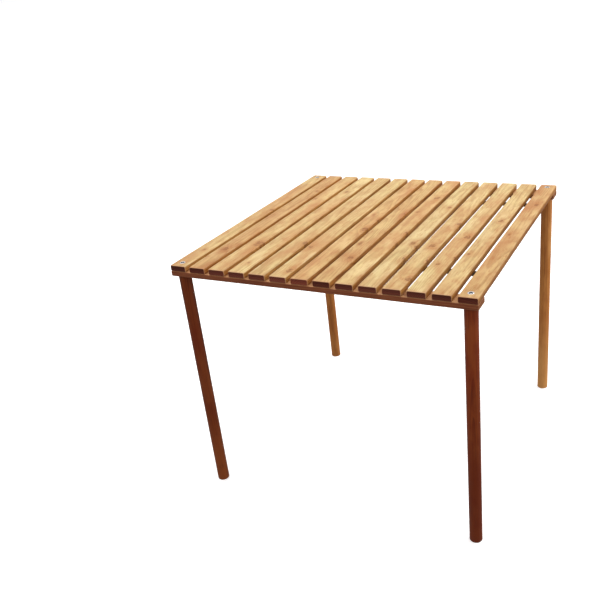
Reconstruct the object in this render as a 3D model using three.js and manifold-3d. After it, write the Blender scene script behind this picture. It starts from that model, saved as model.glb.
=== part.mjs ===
// A wooden picnic table that rolls up: fourteen loose slats on two webbing straps make the top,
// which lies on two loose rails. Four round legs carry a hanger bolt each; the bolt passes up
// through the rail into a flanged insert in the first or last slat and so clamps the corner.
//
// Millimetres. X runs across the slats, Y along them, Z up. The origin is on the floor, under
// the middle of the top. "Left" is the first slat's side (-X), "front" is -Y.

import * as THREE from 'three';
import { mergeVertices } from 'three/addons/utils/BufferGeometryUtils.js';
import Module from 'manifold-3d';

// ---------- driving dimensions ----------
const TABLE_SIDE = 711;          // the top is square
const TABLE_HEIGHT = 600;
const CONTACT_GAP = 0.2;         // air left between pieces that rest on one another

const SLAT_COUNT = 14;
const SLAT_WIDTH = 41;
const SLAT_THICKNESS = 14.5;
const SLAT_TOP_RADIUS = 3.4;
const SLAT_BOTTOM_RADIUS = 1.4;

const RAIL_WIDTH = 42;
const RAIL_THICKNESS = 12;
const RAIL_EDGE_RADIUS = 1.6;
const END_CHAMFER = 1.0;         // arris taken off the sawn ends of slats and rails

const STRAP_WIDTH = 25;
const STRAP_THICKNESS = 1.4;
const STRAP_FRONT_INSET = 143;   // front end of the slats to the middle of the front strap
const STRAP_BACK_INSET = 126;    // back end of the slats to the middle of the back strap
const STRAP_END_INSET = 4;       // outer edge of the top to the cut end of a strap
const STRAP_SPLIT = 0.3;         // slit between the two strap lengths that meet at a gap

const LEG_DIAMETER = 28.5;
const LEG_TOP_CHAMFER = 0.8;
const LEG_FOOT_CHAMFER = 2;
const LEG_INSET = SLAT_WIDTH / 2; // leg axis from both edges of the top

const BOLT_THREAD_DIAMETER = 7.4;
const BOLT_SCREW_DIAMETER = 6.4; // the half that is driven into the leg
const BOLT_SCREW_LENGTH = 32;
const BOLT_TIP_DEPTH = 1.2;      // end of the bolt below the table top
const BOLT_CHAMFER = 0.7;
const BOLT_CLEARANCE = 0.4;      // on the radius, in the leg
const RAIL_HOLE_DIAMETER = 9.4;

const INSERT_FLANGE_DIAMETER = 13;
const INSERT_FLANGE_THICKNESS = 1.2;
const INSERT_BARREL_DIAMETER = 10.4;
const INSERT_BORE_DIAMETER = 8.4;
const INSERT_LENGTH = 11;
const INSERT_CLEARANCE = 0.3;    // between the insert and the wood round it

const ROUND_SEGMENTS = 32;
const SMALL_ROUND_SEGMENTS = 24;
const CORNER_SEGMENTS = 3;

// ---------- derived places ----------
const HALF_SIDE = TABLE_SIDE / 2;
const SLAT_PITCH = (TABLE_SIDE - SLAT_WIDTH) / (SLAT_COUNT - 1);
const SLAT_BOTTOM = TABLE_HEIGHT - SLAT_THICKNESS;
const RAIL_TOP = SLAT_BOTTOM - CONTACT_GAP;
const RAIL_BOTTOM = RAIL_TOP - RAIL_THICKNESS;
const LEG_TOP = RAIL_BOTTOM - CONTACT_GAP;
const LEG_AXIS = HALF_SIDE - LEG_INSET;
const FRONT = -1;
const BACK = 1;
const LEFT = -1;
const RIGHT = 1;
const CORNERS = [
  { name: 'front_left', x: LEFT * LEG_AXIS, y: FRONT * LEG_AXIS },
  { name: 'front_right', x: RIGHT * LEG_AXIS, y: FRONT * LEG_AXIS },
  { name: 'back_left', x: LEFT * LEG_AXIS, y: BACK * LEG_AXIS },
  { name: 'back_right', x: RIGHT * LEG_AXIS, y: BACK * LEG_AXIS },
];
const SIDES = [
  { name: 'front', railY: FRONT * (HALF_SIDE - RAIL_WIDTH / 2), strapY: STRAP_FRONT_INSET - HALF_SIDE },
  { name: 'back', railY: BACK * (HALF_SIDE - RAIL_WIDTH / 2), strapY: HALF_SIDE - STRAP_BACK_INSET },
];

// ---------- materials ----------
const wood = (color) => new THREE.MeshStandardMaterial({ color, roughness: 0.45, metalness: 0 });
const slatWood = wood(0xc98a4b);
const railWood = wood(0x8a4b26);
const legWood = wood(0x7d4324);
const webbing = new THREE.MeshStandardMaterial({ color: 0x15140f, roughness: 0.9, metalness: 0 });
const zinc = new THREE.MeshStandardMaterial({ color: 0xc4c6c8, roughness: 0.3, metalness: 1 });

// ---------- solids ----------
const wasm = await Module();
wasm.setup();

// A three.js geometry as a manifold, with the shared corners merged.
function toSolid(geometry) {
  const bare = geometry.index ? geometry.toNonIndexed() : geometry.clone();
  bare.deleteAttribute('normal');
  bare.deleteAttribute('uv');
  const merged = mergeVertices(bare, 1e-4);
  return new wasm.Manifold(new wasm.Mesh({
    numProp: 3,
    vertProperties: new Float32Array(merged.attributes.position.array),
    triVerts: new Uint32Array(merged.index.array),
  }));
}

function toGeometry(solid) {
  const mesh = solid.getMesh();
  const geometry = new THREE.BufferGeometry();
  geometry.setAttribute('position', new THREE.BufferAttribute(mesh.vertProperties, 3));
  geometry.setIndex(new THREE.BufferAttribute(mesh.triVerts, 1));
  const flat = geometry.toNonIndexed();
  flat.computeVertexNormals();
  return flat;
}

// A rectangle with round corners, centred on the origin.
function roundedRectangle(width, height, topRadius, bottomRadius) {
  const x = width / 2;
  const y = height / 2;
  const low = bottomRadius;
  const high = topRadius;
  const shape = new THREE.Shape();
  shape.moveTo(-x + low, -y);
  shape.lineTo(x - low, -y);
  shape.absarc(x - low, -y + low, low, -Math.PI / 2, 0, false);
  shape.lineTo(x, y - high);
  shape.absarc(x - high, y - high, high, 0, Math.PI / 2, false);
  shape.lineTo(-x + high, y);
  shape.absarc(-x + high, y - high, high, Math.PI / 2, Math.PI, false);
  shape.lineTo(-x, -y + low);
  shape.absarc(-x + low, -y + low, low, Math.PI, Math.PI * 1.5, false);
  return shape;
}

// A planed board with rounded long edges, lying along Y and centred on the origin.
function board(width, thickness, length, topRadius, bottomRadius) {
  const section = roundedRectangle(width, thickness, topRadius, bottomRadius);
  const geometry = new THREE.ExtrudeGeometry(section, {
    depth: length - 2 * END_CHAMFER,
    curveSegments: CORNER_SEGMENTS,
    bevelEnabled: true,
    bevelThickness: END_CHAMFER,
    bevelSize: END_CHAMFER,
    bevelOffset: -END_CHAMFER,
    bevelSegments: 1,
  });
  geometry.translate(0, 0, -length / 2 + END_CHAMFER);
  geometry.rotateX(Math.PI / 2);
  return geometry;
}

// An upright drill of the given diameter, from one height to another.
function drill(diameter, x, y, bottom, top) {
  const geometry = new THREE.CylinderGeometry(
    diameter / 2, diameter / 2, top - bottom, SMALL_ROUND_SEGMENTS);
  geometry.rotateX(Math.PI / 2);
  geometry.translate(x, y, (bottom + top) / 2);
  return toSolid(geometry);
}

// A turned piece: radius and height pairs, spun about the upright axis.
function turned(profile, segments) {
  const points = profile.map(([radius, height]) => new THREE.Vector2(radius, height));
  const geometry = new THREE.LatheGeometry(points, segments);
  geometry.rotateX(Math.PI / 2);
  return geometry;
}

// ---------- the pieces ----------
const table = new THREE.Group();

function addPiece(parent, name, geometry, material, x, y, z) {
  const mesh = new THREE.Mesh(geometry, material);
  mesh.name = name;
  mesh.position.set(x, y, z);
  parent.add(mesh);
}

const twoDigits = (number) => String(number).padStart(2, '0');
const slatX = (number) => -HALF_SIDE + SLAT_WIDTH / 2 + (number - 1) * SLAT_PITCH;
const plainSlat = board(
  SLAT_WIDTH, SLAT_THICKNESS, TABLE_SIDE, SLAT_TOP_RADIUS, SLAT_BOTTOM_RADIUS);

// The end slats are bored for the insert's barrel and sunk for its flange.
function boredSlat() {
  const top = SLAT_THICKNESS / 2;
  const sink = INSERT_FLANGE_THICKNESS + INSERT_CLEARANCE;
  let slat = toSolid(plainSlat);
  for (const y of [FRONT * LEG_AXIS, BACK * LEG_AXIS]) {
    const barrelHole = INSERT_BARREL_DIAMETER + 2 * INSERT_CLEARANCE;
    const flangeHole = INSERT_FLANGE_DIAMETER + 2 * INSERT_CLEARANCE;
    slat = slat.subtract(drill(barrelHole, 0, y, -top - 1, top + 1));
    slat = slat.subtract(drill(flangeHole, 0, y, top - sink, top + 1));
  }
  return toGeometry(slat);
}

function addSlats() {
  const bored = boredSlat();
  const z = SLAT_BOTTOM + SLAT_THICKNESS / 2;
  for (let number = 1; number <= SLAT_COUNT; number += 1) {
    const geometry = number === 1 || number === SLAT_COUNT ? bored : plainSlat;
    addPiece(table, `slat_${twoDigits(number)}`, geometry, slatWood, slatX(number), 0, z);
  }
}

// Each strap is laid out as one length per slat, so that it can bend at every gap.
function addStrap(side) {
  const z = SLAT_BOTTOM - CONTACT_GAP - STRAP_THICKNESS / 2;
  for (let number = 1; number <= SLAT_COUNT; number += 1) {
    const half = (SLAT_PITCH - STRAP_SPLIT) / 2;
    const left = number === 1 ? -HALF_SIDE + STRAP_END_INSET : slatX(number) - half;
    const right = number === SLAT_COUNT ? HALF_SIDE - STRAP_END_INSET : slatX(number) + half;
    const geometry = new THREE.BoxGeometry(right - left, STRAP_WIDTH, STRAP_THICKNESS);
    const name = `strap_${side.name}_${twoDigits(number)}`;
    addPiece(table, name, geometry, webbing, (left + right) / 2, side.strapY, z);
  }
}

function addRail(side) {
  const geometry = board(
    RAIL_WIDTH, RAIL_THICKNESS, TABLE_SIDE, RAIL_EDGE_RADIUS, RAIL_EDGE_RADIUS);
  geometry.rotateZ(Math.PI / 2);
  let rail = toSolid(geometry);
  for (const x of [LEFT * LEG_AXIS, RIGHT * LEG_AXIS]) {
    const boltY = Math.sign(side.railY) * LEG_AXIS - side.railY;
    rail = rail.subtract(drill(RAIL_HOLE_DIAMETER, x, boltY, -RAIL_THICKNESS, RAIL_THICKNESS));
  }
  const z = RAIL_BOTTOM + RAIL_THICKNESS / 2;
  addPiece(table, `rail_${side.name}`, toGeometry(rail), railWood, 0, side.railY, z);
}

function legGeometry() {
  const radius = LEG_DIAMETER / 2;
  const holeRadius = BOLT_SCREW_DIAMETER / 2 + BOLT_CLEARANCE;
  const holeBottom = LEG_TOP - BOLT_SCREW_LENGTH - BOLT_CLEARANCE;
  return turned([
    [0, 0],
    [radius - LEG_FOOT_CHAMFER, 0],
    [radius, LEG_FOOT_CHAMFER],
    [radius, LEG_TOP - LEG_TOP_CHAMFER],
    [radius - LEG_TOP_CHAMFER, LEG_TOP],
    [holeRadius, LEG_TOP],
    [holeRadius, holeBottom],
    [0, holeBottom],
  ], ROUND_SEGMENTS);
}

// Heights are measured from the leg's top: wood screw below it, machine thread above.
function boltGeometry() {
  const screwRadius = BOLT_SCREW_DIAMETER / 2;
  const threadRadius = BOLT_THREAD_DIAMETER / 2;
  const end = TABLE_HEIGHT - BOLT_TIP_DEPTH - LEG_TOP;
  return turned([
    [0, -BOLT_SCREW_LENGTH],
    [screwRadius - 2 * BOLT_CHAMFER, -BOLT_SCREW_LENGTH],
    [screwRadius, -BOLT_SCREW_LENGTH + 3 * BOLT_CHAMFER],
    [screwRadius, CONTACT_GAP],
    [threadRadius, CONTACT_GAP],
    [threadRadius, end - BOLT_CHAMFER],
    [threadRadius - BOLT_CHAMFER, end],
    [0, end],
  ], SMALL_ROUND_SEGMENTS);
}

// Heights are measured from the table top: the flange lies flush with it.
function insertGeometry() {
  const bore = INSERT_BORE_DIAMETER / 2;
  const barrel = INSERT_BARREL_DIAMETER / 2;
  const flange = INSERT_FLANGE_DIAMETER / 2;
  return turned([
    [bore, -INSERT_LENGTH],
    [barrel, -INSERT_LENGTH],
    [barrel, -INSERT_FLANGE_THICKNESS],
    [flange, -INSERT_FLANGE_THICKNESS],
    [flange, 0],
    [bore, 0],
    [bore, -INSERT_LENGTH],
  ], SMALL_ROUND_SEGMENTS);
}

function addCorners() {
  const leg = legGeometry();
  const bolt = boltGeometry();
  const insert = insertGeometry();
  for (const { name, x, y } of CORNERS) {
    addPiece(table, `leg_${name}`, leg, legWood, x, y, 0);
    addPiece(table, `hanger_bolt_${name}`, bolt, zinc, x, y, LEG_TOP);
    addPiece(table, `insert_${name}`, insert, zinc, x, y, TABLE_HEIGHT);
  }
}

addSlats();
SIDES.forEach(addStrap);
SIDES.forEach(addRail);
addCorners();

export default table;
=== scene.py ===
"""Looks of the roll-up picnic table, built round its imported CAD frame. Metres, +Z up.

X runs across the slats, Y along them. Every place and size is read from the frame; the numbers
here are the finer shapes, the finishes, the light and the camera.
"""
import math
import random

import bpy
from mathutils import Matrix, Vector


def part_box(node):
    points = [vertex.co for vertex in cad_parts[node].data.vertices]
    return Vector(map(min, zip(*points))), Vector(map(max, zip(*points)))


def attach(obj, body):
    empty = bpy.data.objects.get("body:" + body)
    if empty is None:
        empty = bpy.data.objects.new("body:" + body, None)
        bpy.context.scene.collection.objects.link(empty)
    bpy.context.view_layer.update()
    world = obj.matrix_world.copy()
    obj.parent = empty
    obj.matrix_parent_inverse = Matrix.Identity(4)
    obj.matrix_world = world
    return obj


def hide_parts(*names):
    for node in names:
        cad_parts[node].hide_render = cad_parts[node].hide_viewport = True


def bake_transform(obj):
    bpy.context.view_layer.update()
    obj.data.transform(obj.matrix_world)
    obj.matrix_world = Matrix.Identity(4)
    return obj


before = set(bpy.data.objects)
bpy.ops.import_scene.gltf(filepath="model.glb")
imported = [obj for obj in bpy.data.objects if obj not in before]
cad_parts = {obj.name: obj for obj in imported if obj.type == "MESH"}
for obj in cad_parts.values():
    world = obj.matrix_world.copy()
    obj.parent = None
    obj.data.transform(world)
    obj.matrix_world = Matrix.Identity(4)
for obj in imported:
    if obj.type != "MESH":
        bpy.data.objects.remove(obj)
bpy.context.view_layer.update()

MM = 0.001
SLAT_COUNT = 14
CORNERS = ("front_left", "front_right", "back_left", "back_right")
SIDES = ("front", "back")
X, Y, Z = 0, 1, 2
# each kind of piece draws its random numbers from here on, one seed for each piece
SLAT_SEED, RAIL_SEED, LEG_SEED, STAPLE_SEED = 100, 40, 70, 900


# ---------- camera ----------
CAMERA_PLACE = Vector((0.7302, -1.6039, 1.2144))
CAMERA_HEADING = -28.28      # degrees from +Y towards +X
CAMERA_PITCH = -25.09
CAMERA_ROLL = 5.9
CAMERA_LENS = 46.58
CAMERA_SHIFT = (-0.0693, 0.0152)


def make_camera():
    heading, pitch, roll = (math.radians(a) for a in (CAMERA_HEADING, CAMERA_PITCH, CAMERA_ROLL))
    forward = Vector((
        math.sin(heading) * math.cos(pitch),
        math.cos(heading) * math.cos(pitch),
        math.sin(pitch)))
    level = forward.cross(Vector((0, 0, 1))).normalized()
    upright = level.cross(forward)
    right = level * math.cos(roll) - upright * math.sin(roll)
    up = level * math.sin(roll) + upright * math.cos(roll)
    camera = bpy.data.objects.new("camera", bpy.data.cameras.new("camera"))
    bpy.context.scene.collection.objects.link(camera)
    turn = Matrix((right, up, -forward)).transposed().to_4x4()
    camera.matrix_world = Matrix.Translation(CAMERA_PLACE) @ turn
    camera.data.lens = CAMERA_LENS
    camera.data.shift_x, camera.data.shift_y = CAMERA_SHIFT
    bpy.context.scene.camera = camera


# ---------- mesh helpers ----------
def new_piece(name, verts, faces, material, smooth_angle):
    """A mesh object with smooth shading, broken where faces meet at more than smooth_angle degrees."""
    mesh = bpy.data.meshes.new(name)
    mesh.from_pydata([tuple(v) for v in verts], [], faces)
    mesh.validate()
    mesh.materials.append(material)
    piece = bpy.data.objects.new(name, mesh)
    bpy.context.scene.collection.objects.link(piece)
    shade(mesh, smooth_angle)
    return piece


def shade(mesh, smooth_angle):
    mesh.shade_smooth()
    mesh.set_sharp_from_angle(angle=math.radians(smooth_angle))


def rings_to_faces(ring_count, ring_size, closed=False):
    """Quads between rings of points, and a face over each open end."""
    faces = []
    last = ring_count if closed else ring_count - 1
    for ring in range(last):
        here, there = ring * ring_size, (ring + 1) % ring_count * ring_size
        for k in range(ring_size):
            n = (k + 1) % ring_size
            faces.append((here + k, here + n, there + n, there + k))
    if not closed:
        faces.append(tuple(range(ring_size))[::-1])
        faces.append(tuple(range((ring_count - 1) * ring_size, ring_count * ring_size)))
    return faces


def cut(piece, cutters, smooth_angle):
    """Subtracts the cutters from the piece's mesh, then deletes the cutters."""
    for cutter in cutters:
        modifier = piece.modifiers.new("cut", "BOOLEAN")
        modifier.operation = "DIFFERENCE"
        modifier.solver = "EXACT"
        modifier.object = cutter
    evaluated = piece.evaluated_get(bpy.context.evaluated_depsgraph_get())
    mesh = bpy.data.meshes.new_from_object(evaluated)
    piece.modifiers.clear()
    piece.data = mesh
    shade(mesh, smooth_angle)
    for cutter in cutters:
        bpy.data.objects.remove(cutter)


def turned(name, profile, centre, material, segments, closed=False, smooth_angle=40):
    """A piece spun about an upright axis. The profile is (radius, height) pairs; an end at radius 0
    is closed by a tiny flat, and a closed profile makes a ring."""
    tiny = 1e-5
    verts = []
    for radius, height in profile:
        for k in range(segments):
            angle = 2 * math.pi * k / segments
            r = max(radius, tiny)
            verts.append((centre[X] + r * math.cos(angle), centre[Y] + r * math.sin(angle), height))
    faces = rings_to_faces(len(profile), segments, closed)
    return new_piece(name, verts, faces, material, smooth_angle)


def arc(centre_r, centre_z, radius, start, end, steps):
    """Profile points on an arc, angles in degrees from +r towards +z."""
    points = []
    for k in range(steps + 1):
        a = math.radians(start + (end - start) * k / steps)
        points.append((centre_r + radius * math.cos(a), centre_z + radius * math.sin(a)))
    return points


EDGE_STEPS = 6                     # stretches round each rounded edge of a board


def board_section(half_width, half_height, top_radius, bottom_radius):
    """Section of a planed board, anticlockwise from the bottom left."""
    w, h, t, b = half_width, half_height, top_radius, bottom_radius
    points = arc(-w + b, -h + b, b, 180, 270, EDGE_STEPS)
    points += arc(w - b, -h + b, b, 270, 360, EDGE_STEPS)
    points += arc(w - t, h - t, t, 0, 90, EDGE_STEPS)
    points += arc(-w + t, h - t, t, 90, 180, EDGE_STEPS)
    return points


END_ANGLES = (0, 20, 42, 66, 90)   # stations round the rounded end of a board, in degrees
BOARD_STEPS = 36                   # stretches between the two ends
WAVE_RATES = (9, 14, 21, 33)       # radians a metre: thickness, width, top and bottom edge
THICKNESS_WAVE = 0.12 * MM
WIDTH_WAVE = 0.18 * MM


def board_stations(half_length, end_radius):
    """Places along a board, each with the inset of its section from the full size."""
    ends = []
    for angle in END_ANGLES:
        a = math.radians(angle)
        ends.append((-half_length + end_radius * (1 - math.cos(a)), end_radius * (1 - math.sin(a))))
    straight = 2 * half_length - 2 * end_radius
    middle = []
    for k in range(1, BOARD_STEPS):
        middle.append((-half_length + end_radius + straight * k / BOARD_STEPS, 0.0))
    return ends + middle + [(-s, inset) for s, inset in reversed(ends)]


def board(name, low, high, along, radii, end_radius, material, rng):
    """A planed board between two corners, with rounded edges, softly rounded ends and the small
    waviness of hand-sanded stock. along is X or Y."""
    across = Y if along == X else X
    centre = (low + high) / 2
    half_length = (high[along] - low[along]) / 2
    half_width = (high[across] - low[across]) / 2
    half_height = (high[Z] - low[Z]) / 2
    stations = board_stations(half_length, end_radius)
    phases = [rng.uniform(0, 2 * math.pi) for _ in WAVE_RATES]
    verts = []
    for s, inset in stations:
        wave = [0.5 + 0.5 * math.sin(p + s * rate) for p, rate in zip(phases, WAVE_RATES)]
        thin = THICKNESS_WAVE * wave[0]
        narrow = WIDTH_WAVE * wave[1]
        t = radii[0] * (0.9 + 0.2 * wave[2]) + 0.9 * inset
        b = radii[1] * (0.9 + 0.2 * wave[3]) + 0.5 * inset
        section = board_section(half_width - inset - narrow, half_height - inset - thin / 2, t, b)
        for u, v in section:
            point = centre.copy()
            point[along] += s
            point[across] += u if along == Y else -u
            point[Z] += v
            verts.append(point)
    faces = rings_to_faces(len(stations), len(verts) // len(stations))
    if along == Y:
        faces = [f[::-1] for f in faces]
    return new_piece(name, verts, faces, material, 50)


# ---------- shader helpers ----------
class Shader:
    """A node material under construction."""

    def __init__(self, name):
        self.material = bpy.data.materials.new(name)
        self.material.use_nodes = True
        self.nodes = self.material.node_tree.nodes
        self.links = self.material.node_tree.links
        self.surface = self.nodes["Principled BSDF"]

    def feed(self, socket, value):
        if isinstance(value, bpy.types.NodeSocket):
            self.links.new(value, socket)
        else:
            socket.default_value = value

    def math(self, operation, a, b=0.0, c=0.0, clamp=False):
        node = self.nodes.new("ShaderNodeMath")
        node.operation = operation
        node.use_clamp = clamp
        for socket, value in zip(node.inputs, (a, b, c)):
            self.feed(socket, value)
        return node.outputs[0]

    def vector(self, operation, a, b=(0, 0, 0)):
        node = self.nodes.new("ShaderNodeVectorMath")
        node.operation = operation
        self.feed(node.inputs[0], a)
        self.feed(node.inputs[1], b)
        return node.outputs["Value"] if operation == "LENGTH" else node.outputs["Vector"]

    def split(self, vector):
        node = self.nodes.new("ShaderNodeSeparateXYZ")
        self.feed(node.inputs[0], vector)
        return node.outputs

    def join(self, x, y, z):
        node = self.nodes.new("ShaderNodeCombineXYZ")
        for socket, value in zip(node.inputs, (x, y, z)):
            self.feed(socket, value)
        return node.outputs[0]

    def noise(self, vector, scale, detail=2.0, roughness=0.5):
        node = self.nodes.new("ShaderNodeTexNoise")
        self.feed(node.inputs["Vector"], vector)
        node.inputs["Scale"].default_value = scale
        node.inputs["Detail"].default_value = detail
        node.inputs["Roughness"].default_value = roughness
        return node.outputs["Fac"]

    def spread(self, value, low, high, out_low=0.0, out_high=1.0, smooth=False):
        node = self.nodes.new("ShaderNodeMapRange")
        node.interpolation_type = "SMOOTHSTEP" if smooth else "LINEAR"
        for socket, v in zip(node.inputs, (value, low, high, out_low, out_high)):
            self.feed(socket, v)
        return node.outputs[0]

    def mix(self, factor, a, b):
        node = self.nodes.new("ShaderNodeMix")
        node.data_type = "RGBA"
        node.clamp_factor = True
        self.feed(node.inputs["Factor"], factor)
        self.feed(node.inputs[6], a)
        self.feed(node.inputs[7], b)
        return node.outputs[2]

    def bump(self, height, distance, strength):
        node = self.nodes.new("ShaderNodeBump")
        node.inputs["Strength"].default_value = strength
        node.inputs["Distance"].default_value = distance
        self.feed(node.inputs["Height"], height)
        return node.outputs[0]


def rgb(r, g, b):
    return (r, g, b, 1.0)


# ---------- wood ----------
def board_axes(s, along, centre):
    """The place from the board's middle and the face's direction, each as (across, along, through)."""
    texture = s.nodes.new("ShaderNodeTexCoord")
    place = s.split(s.vector("SUBTRACT", texture.outputs["Object"], tuple(centre)))
    facing = s.split(texture.outputs["Normal"])
    order = {X: (1, 0, 2), Y: (0, 1, 2), Z: (0, 2, 1)}[along]
    return [place[k] for k in order], [facing[k] for k in order]


def grain_noise(s, grain, stretch, scale, detail=2.0, roughness=0.5):
    """Noise drawn out along the fibres: a stretch of 0.1 makes marks ten times as long as wide."""
    return s.noise(s.vector("MULTIPLY", grain, (1.0, stretch, 1.0)), scale, detail, roughness)


def swing(s, value):
    """A noise value as -0.5 to 0.5, with its middle range spread out."""
    return s.spread(value, 0.3, 0.7, -0.5, 0.5)


def hump(s, value, rise, fall):
    """Climbs from 0 to 1 over the range rise and goes back to 0 over the range fall."""
    up = s.spread(value, *rise, smooth=True)
    return s.math("MULTIPLY", up, s.spread(value, *fall, 1.0, 0.0, smooth=True))


def ring_distance(s, grain, across, fibre, through, rng):
    """Distance from a slightly leaning pith, on a board below its middle, with some wander."""
    wander = s.math("SUBTRACT", grain_noise(s, grain, 0.12, 16), 0.5)
    pith_across = rng.uniform(-38, 38) * MM
    pith_through = -rng.uniform(14, 46) * MM
    lean = rng.uniform(-0.05, 0.05)
    off_across = s.math("SUBTRACT", across, s.math("MULTIPLY_ADD", fibre, lean, pith_across))
    off_through = s.math("SUBTRACT", through, s.math("MULTIPLY_ADD", fibre, lean * 0.6, pith_through))
    distance = s.vector("LENGTH", s.join(off_across, 0.0, off_through))
    return s.math("MULTIPLY_ADD", wander, 26 * MM, distance)


def add_knots(s, grain, across, fibre, distance, knots):
    """Bends the rings round each knot. Also gives the knots' dark wood and the glow round them."""
    core, halo = 0.0, 0.0
    for knot_across, knot_along, size in knots:
        du = s.math("DIVIDE", s.math("SUBTRACT", across, knot_across * MM), size * MM)
        dv = s.math("DIVIDE", s.math("SUBTRACT", fibre, knot_along * MM), size * 1.4 * MM)
        far = s.vector("LENGTH", s.join(du, dv, 0.0))
        bend = s.math("EXPONENT", s.math("MULTIPLY", s.math("MULTIPLY", far, far), -0.25))
        distance = s.math("MULTIPLY_ADD", bend, size * 1.3 * MM, distance)
        rough_edge = s.math("SUBTRACT", s.noise(grain, 190, 3), 0.5)
        ragged = s.math("MULTIPLY_ADD", rough_edge, 2.0, far)
        broken = s.spread(s.noise(grain, 110, 1), 0.42, 0.56, 0.05, 1.0, smooth=True)
        rim = s.math("MULTIPLY", hump(s, ragged, (0.3, 0.85), (0.85, 1.3)), broken)
        heart = s.spread(ragged, 0.3, 0.9, 0.6, 0.0, smooth=True)
        core = s.math("MAXIMUM", core, s.math("MAXIMUM", rim, heart))
        tail = s.vector("LENGTH", s.join(du, s.math("MULTIPLY", dv, 0.55), 0.0))
        glow = s.math("EXPONENT", s.math("MULTIPLY", s.math("MULTIPLY", tail, tail), -0.3))
        halo = s.math("MAXIMUM", halo, glow)
    return distance, core, halo


def face_colour(s, grain, late, streaks, tones, contrast):
    """Long-grain colour, and the light-to-dark value that it came from."""
    bands = grain_noise(s, grain, 0.07, 70)
    patches = grain_noise(s, grain, 0.3, 17, 3)
    mottle = grain_noise(s, grain, 0.45, 48, 3, 0.6)
    tone = s.math("MULTIPLY", late, contrast)
    for value, weight in ((streaks, 0.6), (bands, 0.6), (mottle, 0.5)):
        tone = s.math("MULTIPLY_ADD", swing(s, value), weight, tone)
    tone = s.math("ADD", tone, 0.12, clamp=True)
    colour = s.mix(tone, tones["light"], tones["dark"])
    blush = s.math("MULTIPLY_ADD", s.spread(mottle, 0.42, 0.72), 0.5, s.spread(patches, 0.4, 0.7))
    colour = s.mix(s.math("MULTIPLY", blush, tones["blush_amount"]), colour, tones["blush"])
    sapwood = grain_noise(s, s.vector("ADD", grain, (3, 3, 3)), 0.35, 24, 3, 0.55)
    pale = s.spread(sapwood, 0.52, 0.68, 0.0, tones["pale_amount"], smooth=True)
    return s.mix(pale, colour, tones["pale"]), tone


def end_grain_stain_and_shade(s, late, streaks, through, tones):
    """A sawn end: growth rings in dark stain, deepest towards a board's top, all darkened by painted
    shade.
    """
    deep = s.math("MULTIPLY_ADD", late, 0.45, s.math("MULTIPLY", streaks, 0.25))
    stain = s.spread(through, -3.5 * MM, 4.5 * MM, -0.15, 0.45)
    return s.mix(s.math("ADD", deep, stain, clamp=True), tones["end"], tones["end_dark_stain_and_shade"])


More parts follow.
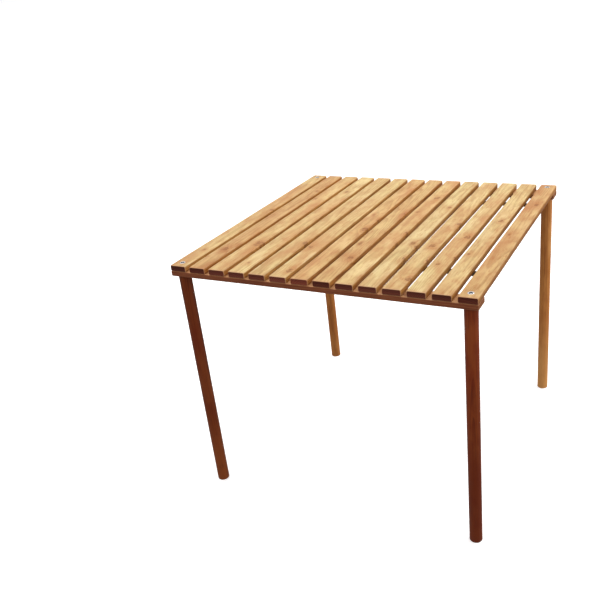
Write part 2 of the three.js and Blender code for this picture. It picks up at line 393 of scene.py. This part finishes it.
def wood(name, along, centre, tones, rng, knots=(), ring=4.2 * MM, contrast=0.55, foot=None):
    """Solid softwood: growth rings about a pith, fibre streaks, knots, end grain where a face is cut
    across the fibres, and painted shade on upright faces and sawn ends. foot = (tone, from, to,
    amount) paints light and shade on a leg's lower end, the two heights measured from its middle."""
    s = Shader(name)
    (across, fibre, through), (_, facing_end, facing_up) = board_axes(s, along, centre)
    shift = tuple(rng.uniform(-5, 5) for _ in range(3))
    grain = s.vector("ADD", s.join(across, fibre, through), shift)
    distance = ring_distance(s, grain, across, fibre, through, rng)
    distance, knot_core, knot_halo = add_knots(s, grain, across, fibre, distance, knots)
    turn = s.math("FRACT", s.math("DIVIDE", distance, ring))
    late = hump(s, turn, (0.25, 0.92), (0.93, 1.0))
    streaks = grain_noise(s, grain, 0.018, 900, 3, 0.65)
    colour, tone = face_colour(s, grain, late, streaks, tones, contrast)

    # Painted light and shade: the front right leg's lower end takes a darker tone, the other legs' a
    # lighter one.
    if foot is not None:
        foot_light_tone, tint_start, tint_full, amount = foot
        foot_light_and_shade = s.spread(fibre, tint_start, tint_full, 0.0, amount, smooth=True)
        colour = s.mix(foot_light_and_shade, colour, tones[foot_light_tone])
    flecks = grain_noise(s, s.vector("ADD", grain, (7, 7, 7)), 0.16, 230, 3, 0.62)
    flecks = s.spread(flecks, 0.52, 0.74, 0.0, tones["fleck_amount"], smooth=True)
    colour = s.mix(flecks, colour, tones["halo"])
    if knots:
        colour = s.mix(s.math("MULTIPLY", knot_halo, 0.75), colour, tones["halo"])

    # Painted shade: faces that stand upright take the darker, redder side colours, as if shaded from a
    # light above.
    side_shade_start, side_shade_full = tones["side_shade_range"]
    side = s.math("SUBTRACT", 1.0, s.math("ABSOLUTE", facing_up))
    side = s.spread(side, side_shade_start, side_shade_full, 0.0, tones["side_shade_amount"], smooth=True)
    # Painted shade: the upright faces darken towards their lower edge, where the gaps between the slats
    # lie in shade.
    low_edge_shade = s.spread(through, 2.0 * MM, -6.0 * MM, 0.0, tones["low_edge_shade"])
    side_shade_tone = s.math("ADD", tone, low_edge_shade, clamp=True)
    colour = s.mix(side, colour, s.mix(side_shade_tone, tones["side"], tones["side_dark_shade"]))

    # cut_face is 1 on a sawn end and 0 along the fibres; the arris is the rounded edge between them
    cut_face = s.math("ABSOLUTE", facing_end)
    arris = hump(s, cut_face, (0.1, 0.35), (0.82, 0.96))
    end_face = s.spread(cut_face, 0.82, 0.97, smooth=True)
    colour = s.mix(end_face, colour, end_grain_stain_and_shade(s, late, streaks, through, tones))
    colour = s.mix(s.math("MULTIPLY", arris, 0.6), colour, tones["arris"])
    if knots:
        knot_depth = s.math("MULTIPLY", knot_core, s.spread(streaks, 0.2, 0.8, 0.75, 1.0))
        colour = s.mix(knot_depth, colour, tones["knot"])
    s.feed(s.surface.inputs["Base Color"], colour)

    rough = s.spread(streaks, 0.25, 0.75, tones["rough"] - 0.06, tones["rough"] + 0.08)
    rough = s.math("MULTIPLY_ADD", s.spread(cut_face, 0.5, 0.9), 0.25, rough)
    s.feed(s.surface.inputs["Roughness"], rough)
    s.surface.inputs["Specular IOR Level"].default_value = 0.16
    s.surface.inputs["Coat Weight"].default_value = tones["coat"]
    s.surface.inputs["Coat Roughness"].default_value = 0.28
    height = s.math("MULTIPLY_ADD", late, 0.5, s.math("MULTIPLY", streaks, 0.8))
    s.feed(s.surface.inputs["Normal"], s.bump(height, 0.16 * MM, 0.6))
    return s.material


# Colours are linear. light, dark, blush, pale and halo make the long-grain faces; side is painted
# shade on the faces that stand upright, deepest low down; end is for the sawn ends, their dark stain with
# painted shade.
SLAT_TONES = {
    "light": rgb(0.635, 0.46, 0.205), "dark": rgb(0.40, 0.235, 0.085),
    "blush": rgb(0.47, 0.222, 0.082), "blush_amount": 0.78,
    "pale": rgb(0.70, 0.53, 0.265), "pale_amount": 0.5,
    "side": rgb(0.55, 0.25, 0.06), "side_dark_shade": rgb(0.25, 0.085, 0.015), "side_shade_amount": 0.9,
    "end": rgb(0.185, 0.045, 0.024), "end_dark_stain_and_shade": rgb(0.075, 0.013, 0.008),
    "arris": rgb(0.70, 0.36, 0.20), "knot": rgb(0.19, 0.062, 0.014), "halo": rgb(0.42, 0.17, 0.05),
    "rough": 0.44, "coat": 0.03, "fleck_amount": 0.75,
    "side_shade_range": (0.25, 0.95), "low_edge_shade": 0.65,
}
RAIL_TONES = {
    "light": rgb(0.62, 0.34, 0.16), "dark": rgb(0.42, 0.20, 0.085),
    "blush": rgb(0.52, 0.24, 0.11), "blush_amount": 0.5,
    "pale": rgb(0.66, 0.38, 0.18), "pale_amount": 0.3,
    "side": rgb(0.31, 0.095, 0.038), "side_dark_shade": rgb(0.165, 0.04, 0.016), "side_shade_amount": 1.0,
    "end": rgb(0.34, 0.14, 0.055), "end_dark_stain_and_shade": rgb(0.20, 0.07, 0.028),
    "arris": rgb(0.42, 0.16, 0.075), "knot": rgb(0.09, 0.028, 0.011), "halo": rgb(0.22, 0.075, 0.03),
    "rough": 0.45, "coat": 0.03, "fleck_amount": 0.5,
    "side_shade_range": (0.02, 0.3), "low_edge_shade": 0.0,
}
# Painted shade: the front legs' dark red, for legs that stand in the table's shade.
SHADED_LEG_TONES = {
    "light": rgb(0.275, 0.064, 0.013), "dark": rgb(0.12, 0.019, 0.004),
    "blush": rgb(0.215, 0.033, 0.008), "blush_amount": 0.6,
    "pale": rgb(0.35, 0.10, 0.024), "pale_amount": 0.4,
    "side": rgb(0.275, 0.064, 0.013), "side_dark_shade": rgb(0.12, 0.019, 0.004), "side_shade_amount": 0.0,
    "end": rgb(0.16, 0.05, 0.02), "end_dark_stain_and_shade": rgb(0.08, 0.02, 0.01),
    "arris": rgb(0.34, 0.14, 0.06), "knot": rgb(0.06, 0.018, 0.008), "halo": rgb(0.13, 0.035, 0.014),
    "rough": 0.4, "coat": 0.05, "fleck_amount": 0.4,
    "side_shade_range": (0.25, 0.95), "low_edge_shade": 0.0,
}
# Painted light: the back legs' golden tone, for legs that stand in the light.
LIT_GOLDEN_LEG_TONES = {
    "light": rgb(0.45, 0.178, 0.044), "dark": rgb(0.25, 0.08, 0.019),
    "blush": rgb(0.36, 0.118, 0.027), "blush_amount": 0.5,
    "pale": rgb(0.55, 0.27, 0.088), "pale_amount": 0.4,
    "side": rgb(0.45, 0.178, 0.044), "side_dark_shade": rgb(0.25, 0.08, 0.019), "side_shade_amount": 0.0,
    "end": rgb(0.26, 0.10, 0.035), "end_dark_stain_and_shade": rgb(0.15, 0.05, 0.02),
    "arris": rgb(0.48, 0.23, 0.09), "knot": rgb(0.10, 0.035, 0.012), "halo": rgb(0.26, 0.09, 0.03),
    "rough": 0.4, "coat": 0.05, "fleck_amount": 0.4,
    "side_shade_range": (0.25, 0.95), "low_edge_shade": 0.0,
}


def toned(tones, brightness, redness):
    """The same wood, a little lighter or darker and redder or yellower."""
    made = {}
    for key, value in tones.items():
        if isinstance(value, tuple) and len(value) == 4:    # a colour, not the side_shade_range
            r, g, b, _ = value
            green = g * brightness * (1 - 0.22 * redness)
            blue = b * brightness * (1 - 0.34 * redness)
            value = rgb(min(r * brightness, 1), green, blue)
        made[key] = value
    return made


# ---------- webbing and metal ----------
def webbing_material():
    """Flat black polypropylene tape: a plain weave in the strap's own UV, in metres."""
    s = Shader("webbing")
    uv = s.nodes.new("ShaderNodeUVMap")
    uv.uv_map = "weave"
    place = s.split(uv.outputs[0])
    warp_pitch, weft_pitch = 1.25 * MM, 1.6 * MM
    warp = s.math("ABSOLUTE", s.math("SINE", s.math("MULTIPLY", place[1], math.pi / warp_pitch)))
    weft = s.math("ABSOLUTE", s.math("SINE", s.math("MULTIPLY", place[0], math.pi / weft_pitch)))
    column = s.math("FLOOR", s.math("DIVIDE", place[1], warp_pitch))
    row = s.math("FLOOR", s.math("DIVIDE", place[0], weft_pitch))
    above_zero = 4000.0      # an even number that keeps the count of crossings positive
    over = s.math("MODULO", s.math("ADD", s.math("ADD", column, row), above_zero), 2.0)
    weft_on_top = s.math("MULTIPLY", weft, s.math("SUBTRACT", 1.0, over))
    weave = s.math("MULTIPLY_ADD", warp, over, weft_on_top)
    fuzz = s.noise(uv.outputs[0], 2500, 3, 0.7)
    # Painted shade in the grooves: each yarn of the weave is darker towards its edges; the fuzz adds the
    # tape's own mottling.
    weave_shade_and_fuzz = s.math("MULTIPLY_ADD", fuzz, 0.5, s.math("MULTIPLY", weave, 0.4))
    colour = s.mix(weave_shade_and_fuzz, rgb(0.004, 0.0035, 0.003), rgb(0.022, 0.019, 0.017))
    s.feed(s.surface.inputs["Base Color"], colour)
    s.feed(s.surface.inputs["Roughness"], s.spread(fuzz, 0.2, 0.8, 0.66, 0.86))
    s.surface.inputs["Specular IOR Level"].default_value = 0.2
    s.surface.inputs["Sheen Weight"].default_value = 0.04
    height = s.math("MULTIPLY_ADD", fuzz, 0.35, weave)
    s.feed(s.surface.inputs["Normal"], s.bump(height, 0.35 * MM, 0.8))
    return s.material


def zinc_material(name, dark, light, rough, end_face=None):
    """Zinc-plated steel: faint spangle and fine scratches. A bolt's flat end can be brighter than
    its thread, which is darkened with painted shade, as deep in its hole."""
    s = Shader(name)
    texture = s.nodes.new("ShaderNodeTexCoord")
    place = texture.outputs["Object"]
    cloud = s.noise(place, 420, 3, 0.6)
    scratch = s.noise(s.vector("MULTIPLY", place, (1.0, 0.08, 1.0)), 2600, 2, 0.5)
    colour = s.mix(s.spread(cloud, 0.3, 0.7), dark, light)
    if end_face is not None:
        upward = s.split(texture.outputs["Normal"])[2]
        colour = s.mix(s.spread(upward, 0.9, 0.98), colour, end_face)
    s.feed(s.surface.inputs["Base Color"], colour)
    s.surface.inputs["Metallic"].default_value = 1.0
    s.feed(s.surface.inputs["Roughness"], s.spread(scratch, 0.3, 0.7, rough - 0.07, rough + 0.12))
    s.feed(s.surface.inputs["Normal"], s.bump(s.math("MULTIPLY_ADD", scratch, 0.3, cloud), 0.04 * MM, 0.5))
    return s.material


# ---------- the slatted top ----------
SLAT_RADII = (3.3 * MM, 2.0 * MM)
SLAT_END_RADIUS = 2.2 * MM
# brightness and redness of each slat, first to last
SLAT_TONE_LIST = (
    (0.99, 0.02), (0.92, 0.50), (1.02, 0.02), (1.04, -0.18), (1.01, -0.20), (1.04, -0.28), (0.99, 0.26),
    (0.95, 0.28), (1.04, -0.10), (1.00, -0.28), (1.02, -0.18), (1.03, -0.30), (0.99, -0.08), (0.92, 0.42))
# end-grain brightness of the slats whose sawn ends took up clearly more or less stain
END_GRAIN = {1: 0.7, 6: 1.5, 7: 1.75}
# slat number: knots as (across, along, size) in millimetres from the slat's middle
KNOTS = {
    1: ((4, -255, 3), (16, 40, 4)),
    2: ((0, -240, 7), (12, 210, 3)),
    3: ((12, -190, 10), (-11, 145, 3.5)),
    4: ((-2, 215, 4), (0, -300, 3)),
    5: ((18, -165, 7),),
    6: ((-9, -185, 5), (11, -320, 6)),
    7: ((16, -50, 7), (-4, 50, 3), (21, 20, 3)),
    8: ((7, -225, 6), (-7, -140, 4), (17, 70, 4)),
    9: ((6, 200, 7), (-5, 90, 4), (21, -55, 5), (21, -120, 5)),
    10: ((6, -115, 6), (10, 135, 4), (21, -130, 4), (21, -200, 5)),
    11: ((3, -120, 6), (19, 25, 6), (17, -300, 7), (21, -200, 4)),
    12: ((10, -55, 7), (-4, -215, 4), (21, -175, 4)),
    13: ((4, 60, 5), (-9, -150, 3)),
    14: ((6, 190, 5), (-8, -20, 3)),
}


INSERT_LIP = 1.8 * MM        # the flange is wider than the barrel by this all round
INSERT_FLANGE = 1.2 * MM     # thickness of the flange


def insert_cutter(node):
    """The stepped hole for one flanged insert, a little wider than the insert all round."""
    low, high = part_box(node)
    centre = (low + high) / 2
    flange = (high[X] - low[X]) / 2 + 0.12 * MM
    barrel = flange - INSERT_LIP
    seat = high[Z] - INSERT_FLANGE - 0.15 * MM
    bottom, top = low[Z] - 6 * MM, high[Z] + 2 * MM
    profile = [(0, bottom), (barrel, bottom), (barrel, seat), (flange, seat), (flange, top), (0, top)]
    return turned("cutter", profile, centre, bpy.data.materials.new("cutter"), 48)


def make_slats():
    for number in range(1, SLAT_COUNT + 1):
        node, body = f"slat_{number:02d}", f"top_{number:02d}"
        rng = random.Random(SLAT_SEED + number)
        low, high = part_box(node)
        tones = toned(SLAT_TONES, *SLAT_TONE_LIST[number - 1])
        end_scale = END_GRAIN.get(number, rng.uniform(0.85, 1.2))
        for key in ("end", "end_dark_stain_and_shade"):
            tones[key] = rgb(*(value * end_scale for value in tones[key][:3]))
        material = wood(f"slat_wood_{number:02d}", Y, (low + high) / 2, tones, rng, KNOTS[number])
        slat = board(f"{node}_board", low, high, Y, SLAT_RADII, SLAT_END_RADIUS, material, rng)
        if number in (1, SLAT_COUNT):
            side = "left" if number == 1 else "right"
            cut(slat, [insert_cutter(f"insert_{end}_{side}") for end in SIDES], 50)
        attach(slat, body)
        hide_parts(node)


# ---------- rails ----------
RAIL_RADII = (1.6 * MM, 1.6 * MM)
RAIL_END_RADIUS = 1.0 * MM
BOLT_CLEARANCE = 1.0 * MM    # between a bolt and its hole in the rail, all round
RAIL_KNOTS = ((9, -120, 5), (-7, 210, 4))


def bolt_hole_cutter(bolt, low, high, material):
    """The hole for one bolt through a rail from low to high, with a small bevel at both ends."""
    bolt_low, bolt_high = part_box(bolt)
    radius = (bolt_high[X] - bolt_low[X]) / 2 + BOLT_CLEARANCE
    bevel, past = 0.6 * MM, 3 * MM
    mouth = radius + bevel
    profile = [
        (0, low - past), (mouth, low - past), (mouth, low), (radius, low + bevel),
        (radius, high - bevel), (mouth, high), (mouth, high + past), (0, high + past)]
    return turned("cutter", profile, (bolt_low + bolt_high) / 2, material, 40)


def make_rails():
    for side in SIDES:
        node = f"rail_{side}"
        rng = random.Random(RAIL_SEED + SIDES.index(side))
        low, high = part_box(node)
        material = wood(f"{node}_wood", X, (low + high) / 2, RAIL_TONES, rng, RAIL_KNOTS)
        rail = board(f"{node}_board", low, high, X, RAIL_RADII, RAIL_END_RADIUS, material, rng)
        bolts = [f"hanger_bolt_{side}_{end}" for end in ("left", "right")]
        cut(rail, [bolt_hole_cutter(bolt, low[Z], high[Z], material) for bolt in bolts], 50)
        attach(rail, f"{side}_rail")
        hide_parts(node)


# ---------- legs and their bolts ----------
# wood, brightness and redness of each leg, all one stain: the front pair is darker and redder by painted
# shade, the back pair lighter and more golden by painted light
LEG_PAINTED_LIGHT_AND_SHADE = {
    "front_left": (SHADED_LEG_TONES, 0.86, 0.6), "front_right": (SHADED_LEG_TONES, 1.16, 0.6),
    "back_left": (LIT_GOLDEN_LEG_TONES, 1.3, 0.2), "back_right": (LIT_GOLDEN_LEG_TONES, 1.62, -0.1)}
# painted light and shade down each leg: tone, heights from the middle where it starts and is full, amount
LEG_FOOT_LIGHT_AND_SHADE = {
    "front_left": ("pale", -0.02, -0.26, 0.75), "front_right": ("dark", 0.14, -0.14, 0.7),
    "back_left": ("blush", 0.1, -0.2, 0.3), "back_right": ("pale", 0.0, -0.28, 0.6)}


def make_leg(corner, rng):
    node = f"leg_{corner}"
    low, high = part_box(node)
    centre = (low + high) / 2
    radius = (high[X] - low[X]) / 2
    hole, hole_bevel = 3.6 * MM, 0.5 * MM
    hole_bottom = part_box(f"hanger_bolt_{corner}")[0][Z] - 0.4 * MM
    foot, shoulder, flat_edge = 2.2 * MM, 0.9 * MM, 0.4 * MM
    body_bottom, body_top = low[Z] + foot, high[Z] - shoulder
    profile = [(0, low[Z]), (radius - foot - flat_edge, low[Z])]
    profile += arc(radius - foot, body_bottom, foot, -78, 0, 5)
    steps = 30
    phase = rng.uniform(0, 6)
    for k in range(1, steps):
        share = k / steps
        lathe_mark = 0.07 * MM * (0.5 + 0.5 * math.sin(phase + 19 * share))
        profile.append((radius - lathe_mark, body_bottom + (body_top - body_bottom) * share))
    profile += arc(radius - shoulder, body_top, shoulder, 0, 80, 4)
    profile += [(radius - shoulder - flat_edge, high[Z])]
    profile += [(hole + hole_bevel, high[Z]), (hole, high[Z] - hole_bevel)]
    profile += [(hole, hole_bottom), (0, hole_bottom)]
    tones = toned(*LEG_PAINTED_LIGHT_AND_SHADE[corner])
    material = wood(f"{node}_wood", Z, centre, tones, rng, (), 3.0 * MM, 0.6, LEG_FOOT_LIGHT_AND_SHADE[corner])
    leg = turned(f"{node}_dowel", profile, centre, material, 56)
    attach(leg, f"{corner}_leg")
    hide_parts(node)


THREAD_PITCH = 1.25 * MM


def make_bolt(corner, material):
    """A hanger bolt: metric thread above the leg, a blunt point at its top end."""
    node = f"hanger_bolt_{corner}"
    low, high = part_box(node)
    centre = (low + high) / 2
    leg_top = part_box(f"leg_{corner}")[1][Z]
    major, depth = (high[X] - low[X]) / 2, 0.65 * MM
    screw, screw_point = 3.1 * MM, 0.9 * MM
    tip, tip_radius = 2.0 * MM, 1.7 * MM
    segments, rows_per_turn = 30, 8
    rows = int((high[Z] - leg_top) / THREAD_PITCH * rows_per_turn)
    shank = [(screw_point, low[Z]), (screw, low[Z] + 2 * MM), (screw, leg_top - 1.0 * MM)]
    verts = []
    for r, z in shank:
        for k in range(segments):
            a = 2 * math.pi * k / segments
            verts.append((centre[X] + r * math.cos(a), centre[Y] + r * math.sin(a), z))
    for row in range(rows + 1):
        z = leg_top + (high[Z] - leg_top) * row / rows
        for k in range(segments):
            a = 2 * math.pi * k / segments
            turn = ((z - leg_top) / THREAD_PITCH - k / segments) % 1.0
            r = major - depth * abs(2 * turn - 1)
            r = min(r, tip_radius + (high[Z] - z) / tip * (major - tip_radius))
            verts.append((centre[X] + r * math.cos(a), centre[Y] + r * math.sin(a), z))
    faces = rings_to_faces(len(verts) // segments, segments)
    bolt = new_piece(f"{node}_threaded", verts, faces, material, 35)
    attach(bolt, f"{corner}_bolt")
    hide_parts(node)


def make_insert(corner, material, bore_shade_material):
    """A flanged insert: domed flange flush with the slat, barrel below, thread inside the bore."""
    node = f"insert_{corner}"
    low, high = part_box(node)
    centre = (low + high) / 2
    flange = (high[X] - low[X]) / 2
    barrel, bore = flange - INSERT_LIP, 4.25 * MM
    lower_edge, upper_edge, mouth = 0.35 * MM, 0.56 * MM, 0.6 * MM
    seat = high[Z] - INSERT_FLANGE
    profile = [(bore + 0.1 * MM, low[Z]), (barrel, low[Z]), (barrel, seat)]
    profile += arc(flange - lower_edge, seat + lower_edge, lower_edge, -90, 0, 3)
    profile += arc(flange - upper_edge, high[Z] - upper_edge, upper_edge, 0, 80, 4)
    profile += [(bore + 1.1 * MM, high[Z])]
    profile += arc(bore + mouth, high[Z] - mouth, mouth, 90, 180, 4)
    thread_start = len(profile) - 3     # from inside the mouth on, the faces show the darker bore
    turns = int((high[Z] - low[Z] - 1.5 * MM) / THREAD_PITCH)
    for k in range(turns):
        z = high[Z] - 1.0 * MM - k * THREAD_PITCH
        profile += [(bore, z), (bore + 0.35 * MM, z - THREAD_PITCH / 2)]
    segments = 48
    insert = turned(f"{node}_flanged", profile, centre, material, segments, True, 35)
    # Painted shade: faces inside the bore take the near-black material.
    insert.data.materials.append(bore_shade_material)
    for face in insert.data.polygons:
        if face.index >= thread_start * segments:
            face.material_index = 1
    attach(insert, "top_01" if corner.endswith("left") else "top_14")
    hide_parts(node)


def make_corners():
    bright = rgb(0.8, 0.81, 0.83)
    # Painted shade: the bolt's thread is near black, as if shaded deep in its hole; only its flat end is
    # bright.
    bolt_zinc_shaded_thread = zinc_material("bolt_zinc_shaded_thread", rgb(0.035, 0.036, 0.04), rgb(0.11, 0.112, 0.12), 0.38, bright)
    insert_zinc = zinc_material("insert_zinc", rgb(0.74, 0.75, 0.77), rgb(0.92, 0.93, 0.94), 0.3)
    # Painted shade: the insert's bore, too narrow and deep to be lit.
    bore_zinc_painted_shade = zinc_material("bore_zinc_painted_shade", rgb(0.02, 0.02, 0.022), rgb(0.06, 0.06, 0.065), 0.5)
    for corner in CORNERS:
        make_leg(corner, random.Random(LEG_SEED + CORNERS.index(corner)))
        make_bolt(corner, bolt_zinc_shaded_thread)
        make_insert(corner, insert_zinc, bore_zinc_painted_shade)


# ---------- webbing straps and staples ----------
STRAP_STEP = 1.6 * MM        # length of one stretch of mesh along the tape
WEAVE_OFFSET = 0.1           # metres: keeps the UV place across the tape above zero


def strap_piece(name, x_start, x_end, low, high, material):
    """A length of woven tape with rounded selvedges and a UV map in metres along and across it."""
    half = (high[Y] - low[Y]) / 2
    thick = high[Z] - low[Z]
    middle_y, middle_z = (low[Y] + high[Y]) / 2, (low[Z] + high[Z]) / 2
    # place across, and height as a share of the thickness: fullest near the selvedges
    upper = [(-half + thick * 0.35, 0.5), (-half * 0.9, 0.42), (-half * 0.4, 0.45), (0, 0.47),
             (half * 0.4, 0.45), (half * 0.9, 0.42), (half - thick * 0.35, 0.5)]
    section = [(half, 0.0)] + [(u, v * thick) for u, v in reversed(upper)]
    section += [(-half, 0.0)] + [(u, -v * thick) for u, v in upper]
    steps = max(2, round((x_end - x_start) / STRAP_STEP))
    verts, coords = [], []
    for k in range(steps + 1):
        x = x_start + (x_end - x_start) * k / steps
        for u, v in section:
            verts.append((x, middle_y + u, middle_z + v))
            coords.append((x, u + WEAVE_OFFSET))
    faces = rings_to_faces(steps + 1, len(section))
    piece = new_piece(name, verts, faces, material, 60)
    layer = piece.data.uv_layers.new(name="weave")
    for loop in piece.data.loops:
        layer.data[loop.index].uv = coords[loop.vertex_index]
    return piece


def slat_span(number):
    low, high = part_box(f"slat_{number:02d}")
    return low[X], high[X]


def make_strap(side, material):
    """One tape, cut at the slats' middles into lengths that each span a single gap."""
    low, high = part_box(f"strap_{side}_07")    # all pieces of a strap have its width and height
    middle = [sum(slat_span(n)) / 2 for n in range(1, SLAT_COUNT + 1)]
    ends = (("left", 1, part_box(f"strap_{side}_01")[0][X], middle[0]),
            ("right", SLAT_COUNT, middle[-1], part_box(f"strap_{side}_14")[1][X]))
    for end, number, x_start, x_end in ends:
        piece = strap_piece(f"strap_{side}_{end}_end", x_start, x_end, low, high, material)
        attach(piece, f"top_{number:02d}")
        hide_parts(f"strap_{side}_{number:02d}")
    for number in range(1, SLAT_COUNT):
        x_start, x_end = middle[number - 1], middle[number]
        piece = strap_piece(f"strap_{side}_span_{number:02d}", x_start, x_end, low, high, material)
        end = Vector((slat_span(number + 1)[0], 0, 0))
        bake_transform(piece)
        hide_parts(f"strap_{side}_{number + 1:02d}")


STAPLE_CROWN = 10 * MM
STAPLE_WIRE = (1.2 * MM, 0.6 * MM)
STAPLE_OFFSET = 11 * MM      # from the slat's middle to each of its two staples


def staple_mesh(verts, faces, x, y, strap_bottom, slope):
    """One staple whose crown lies across the strap, its two legs driven up into the slat."""
    half, width, thick = STAPLE_CROWN / 2, STAPLE_WIRE[0] / 2, STAPLE_WIRE[1]
    bend, leg, crown_drop = 0.5 * MM, 3 * MM, 0.55 * MM
    outer = [(-half, leg), (-half, bend), (-half + bend * 0.3, bend * 0.3), (-half + bend, 0)]
    outer += [(-along, up) for along, up in reversed(outer)]
    inward = [(1, 0), (1, 0.3), (0.75, 0.75), (0.3, 1)]
    inward += [(-along, up) for along, up in reversed(inward)]
    start = len(verts)
    cos, sin = math.cos(slope), math.sin(slope)
    for (along, up), (n_along, n_up) in zip(outer, inward):
        for across, inner in ((-width, 0), (width, 0), (width, 1), (-width, 1)):
            a = along + n_along * thick * inner
            z = strap_bottom - crown_drop + up + n_up * thick * inner
            verts.append((x + across * cos - a * sin, y + a * cos + across * sin, z))
    for face in rings_to_faces(len(outer), 4):
        faces.append(tuple(start + k for k in face))


def make_staples():
    material = zinc_material("staple_wire", rgb(0.42, 0.42, 0.43), rgb(0.62, 0.62, 0.62), 0.34)
    for number in range(1, SLAT_COUNT + 1):
        rng = random.Random(STAPLE_SEED + number)
        left, right = slat_span(number)
        verts, faces = [], []
        for side in SIDES:
            low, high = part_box(f"strap_{side}_{number:02d}")
            for direction in (-1, 1):
                x = (left + right) / 2 + direction * STAPLE_OFFSET + rng.uniform(-1.5, 1.5) * MM
                y = (low[Y] + high[Y]) / 2 + rng.uniform(-2.5, 2.5) * MM
                staple_mesh(verts, faces, x, y, low[Z], math.radians(rng.uniform(-9, 9)))
        staples = new_piece(f"staples_{number:02d}", verts, faces, material, 30)
        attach(staples, f"top_{number:02d}")


# ---------- studio ----------
def area_light(name, place, target, size, power):
    data = bpy.data.lights.new(name, "AREA")
    data.shape = "DISK"
    data.size = size
    data.energy = power
    light = bpy.data.objects.new(name, data)
    bpy.context.scene.collection.objects.link(light)
    light.location = place
    light.rotation_euler = (Vector(target) - Vector(place)).to_track_quat("-Z", "Y").to_euler()


FLOOR_HALF = 48              # metres: the white studio reaches past every camera's view
WALL_RADIUS = 46
WALL_HEIGHT = 40
WALL_SEGMENTS = 64


def glowing_paper(name, grey, glow):
    """Matt paper that also shines a little, so that it photographs as plain white."""
    s = Shader(name)
    s.surface.inputs["Base Color"].default_value = rgb(grey, grey, grey)
    s.surface.inputs["Roughness"].default_value = 1.0
    s.surface.inputs["Specular IOR Level"].default_value = 0.0
    s.surface.inputs["Emission Color"].default_value = rgb(1, 1, 1)
    s.surface.inputs["Emission Strength"].default_value = glow
    return s.material


def studio_mesh(name, verts, faces, material):
    """A piece of the studio. It is only seen: it throws no light back on the table."""
    mesh = bpy.data.meshes.new(name)
    mesh.from_pydata(verts, [], faces)
    mesh.materials.append(material)
    thing = bpy.data.objects.new(name, mesh)
    bpy.context.scene.collection.objects.link(thing)
    thing.visible_diffuse = False
    thing.visible_glossy = False
    thing.visible_shadow = False


def make_studio():
    h = FLOOR_HALF
    floor = [(-h, -h, 0), (h, -h, 0), (h, h, 0), (-h, h, 0)]
    studio_mesh("floor", floor, [(0, 1, 2, 3)], glowing_paper("floor_paper", 0.8, 0.55))
    verts, faces = [], []
    for z in (-1, WALL_HEIGHT):
        for k in range(WALL_SEGMENTS):
            a = 2 * math.pi * k / WALL_SEGMENTS
            verts.append((WALL_RADIUS * math.cos(a), WALL_RADIUS * math.sin(a), z))
    for k in range(WALL_SEGMENTS):
        n = (k + 1) % WALL_SEGMENTS
        faces.append((k, n, WALL_SEGMENTS + n, WALL_SEGMENTS + k))
    studio_mesh("backdrop", verts, faces, glowing_paper("backdrop_paper", 0.0, 1.0))
    make_sky()
    area_light("key", (1.6, 1.9, 2.9), (0, 0, 0.5), 1.6, 62)
    area_light("overhead", (-1.2, 0.4, 3.1), (0, 0, 0.5), 2.0, 26)
    area_light("side", (2.3, 0.6, 0.5), (0, 0, 0.3), 1.0, 9)
    bpy.context.scene.view_settings.view_transform = "Standard"


def make_sky():
    """Soft light from all round, dim from below and strongest from above."""
    world = bpy.data.worlds.new("studio")
    world.use_nodes = True
    nodes, links = world.node_tree.nodes, world.node_tree.links
    background = nodes["Background"]
    background.inputs["Color"].default_value = rgb(1, 1, 1)
    place = nodes.new("ShaderNodeTexCoord")
    split = nodes.new("ShaderNodeSeparateXYZ")
    links.new(place.outputs["Generated"], split.inputs[0])
    dome = nodes.new("ShaderNodeMapRange")
    links.new(split.outputs["Z"], dome.inputs["Value"])
    for socket, value in (("From Min", -0.25), ("From Max", 0.75), ("To Min", 0.26), ("To Max", 0.95)):
        dome.inputs[socket].default_value = value
    links.new(dome.outputs[0], background.inputs["Strength"])
    bpy.context.scene.world = world


make_camera()
make_studio()
make_slats()
make_rails()
make_corners()
strap_webbing = webbing_material()
for strap_side in SIDES:
    make_strap(strap_side, strap_webbing)
make_staples()
